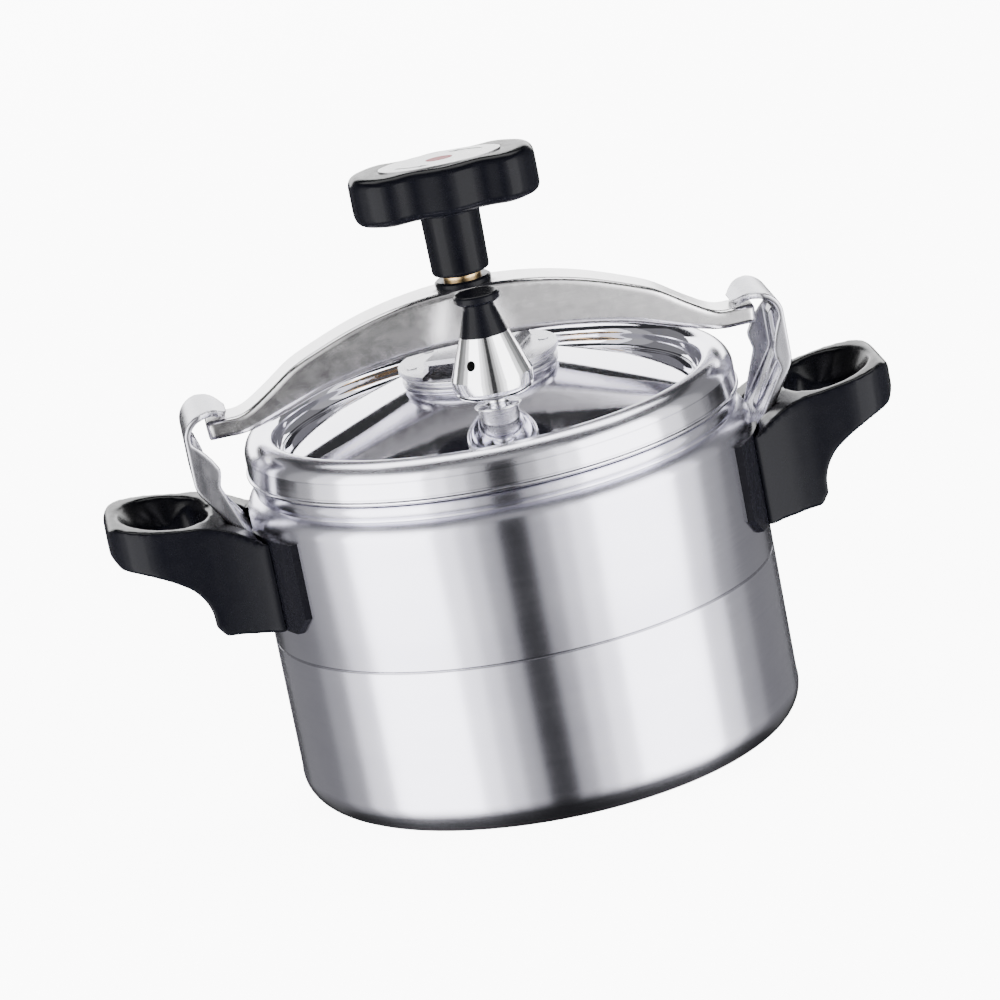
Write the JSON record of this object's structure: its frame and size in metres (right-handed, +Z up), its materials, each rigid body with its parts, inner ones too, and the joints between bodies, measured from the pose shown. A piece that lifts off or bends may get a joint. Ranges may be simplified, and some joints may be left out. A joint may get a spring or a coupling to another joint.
{
  "type": "stovetop pressure cooker",
  "caption": "Aluminium pressure cooker: round pot with side handles, lid held down by a swinging bow and hand screw under two hooks, and a weighted valve on the lid.",
  "frame": {"origin": "centre of the pot's flat base", "axes": "+Z up, +X along the bow towards one handle, -Y towards the weighted valve"},
  "size_m": [0.375, 0.2404, 0.2905],
  "materials": {
    "pot_aluminium": "satin, drawn and polished",
    "lid_aluminium": "polished, turned",
    "bow_aluminium": "satin cast",
    "hook_metal": "polished pressing",
    "bright_steel": "bright",
    "chrome": "polished",
    "brass": "turned",
    "bakelite": "semi-gloss moulded",
    "dark_plate": "semi-gloss",
    "gasket_rubber": "matt",
    "label_metal": "silver print"
  },
  "bodies": {
    "pot": {"pot_body": "pot_aluminium", "bracket_rivets": "bright_steel", "handle_screws": "bright_steel", "hook_bracket_left": "hook_metal", "hook_bracket_right": "hook_metal", "saddle_left": "dark_plate", "saddle_right": "dark_plate", "handle_left": "bakelite", "handle_right": "bakelite"},
    "lid": {"lid_shell": "lid_aluminium", "lid_gasket": "gasket_rubber", "pressure_disc": "bright_steel", "foot_bridge": "bright_steel", "bridge_rivets": "bright_steel", "vent_pipe": "chrome", "vent_washer": "bright_steel", "vent_nut": "bright_steel", "safety_valve_body": "brass", "safety_valve_washer": "gasket_rubber", "safety_valve_nut": "brass", "safety_valve_spring": "bright_steel"},
    "safety_pin": {"safety_valve_pin": "bright_steel"},
    "weight": {"weight_body": "chrome", "weight_cap": "bakelite", "weight_stud": "bright_steel"},
    "swivel": {"thrust_washer": "brass"},
    "bow": {"bow": "bow_aluminium", "bow_bush": "brass", "bow_collar": "bakelite"},
    "knob": {"spindle": "bright_steel", "knob": "bakelite", "knob_nut": "bright_steel", "knob_label": "label_metal"}
  },
  "joints": [
    {"name": "lid_lift", "type": "slide", "parent": "pot", "child": "lid", "axis": [0, 0, 1], "range_m": [0, 0.15]},
    {"name": "bow_swing", "type": "hinge", "parent": "lid", "child": "swivel", "pos_m": [0, 0, 0.1943], "axis": [0, 0, 1], "range_deg": [-50, 50]},
    {"name": "bow_drop", "type": "slide", "parent": "swivel", "child": "bow", "axis": [0, 0, -1], "range_m": [0, 0.0015]},
    {"name": "knob_turn", "type": "hinge", "parent": "lid", "child": "knob", "pos_m": [0, 0, 0.25], "axis": [0, 0, 1], "range_deg": [0, 360]},
    {"name": "weight_lift", "type": "slide", "parent": "lid", "child": "weight", "axis": [0, 0, 1], "range_m": [0, 0.03]},
    {"name": "safety_pop", "type": "slide", "parent": "lid", "child": "safety_pin", "axis": [0, 0, 1], "range_m": [0, 0.002], "stiffness_N_per_m": 500, "springref_m": -0.004, "deforming": ["safety_valve_spring"]}
  ],
  "couplings": [
    {"joint": "bow_drop", "follows": "knob_turn", "m_per_rad": 0.00023841}
  ]
}
